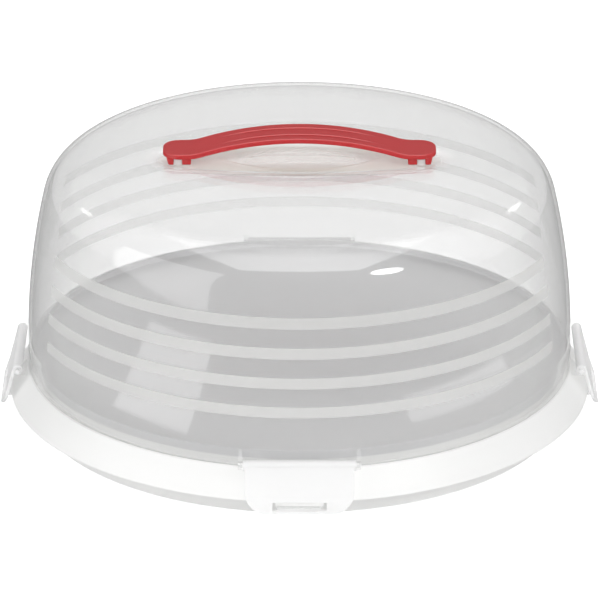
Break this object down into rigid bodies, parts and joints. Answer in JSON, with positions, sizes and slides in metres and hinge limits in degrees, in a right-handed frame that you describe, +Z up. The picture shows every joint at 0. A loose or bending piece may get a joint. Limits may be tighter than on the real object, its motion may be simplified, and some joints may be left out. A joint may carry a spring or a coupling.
{
  "type": "cake carrier",
  "caption": "Round cake carrier: a clear lift-off dome with an arched carrying handle and hinged side latches, on a white tray.",
  "frame": {"origin": "centre of the tray's foot, on the surface that it stands on", "axes": "+Z up, the handle runs along X, -Y is the front, with a latch on each of +X, -X, +Y and -Y"},
  "size_m": [0.3452, 0.3452, 0.1686],
  "materials": {
    "tray_white": "opaque white moulded polypropylene, satin gloss",
    "lid_clear": "clear moulded polypropylene, glossy, with satin stripes",
    "handle_red": "opaque red moulded polypropylene, soft gloss",
    "latch_natural": "natural milky translucent polypropylene, soft gloss"
  },
  "bodies": {
    "tray": {"base_tray": "tray_white"},
    "lid": {"dome_lid": "lid_clear", "handle": "handle_red"},
    "front_latch": {"latch_front": "latch_natural"},
    "right_latch": {"latch_right": "latch_natural"},
    "back_latch": {"latch_back": "latch_natural"},
    "left_latch": {"latch_left": "latch_natural"}
  },
  "joints": [
    {"name": "lid_lift", "type": "slide", "parent": "tray", "child": "lid", "axis": [0, 0, 1], "range_m": [0, 0.16]},
    {"name": "front_latch_hinge", "type": "hinge", "parent": "lid", "child": "front_latch", "pos_m": [0, -0.162, 0.0332], "axis": [-1, 0, 0], "range_deg": [0, 120]},
    {"name": "right_latch_hinge", "type": "hinge", "parent": "lid", "child": "right_latch", "pos_m": [0.162, 0, 0.0332], "axis": [0, -1, 0], "range_deg": [0, 120]},
    {"name": "back_latch_hinge", "type": "hinge", "parent": "lid", "child": "back_latch", "pos_m": [0, 0.162, 0.0332], "axis": [1, 0, 0], "range_deg": [0, 120]},
    {"name": "left_latch_hinge", "type": "hinge", "parent": "lid", "child": "left_latch", "pos_m": [-0.162, 0, 0.0332], "axis": [0, 1, 0], "range_deg": [0, 120]}
  ]
}
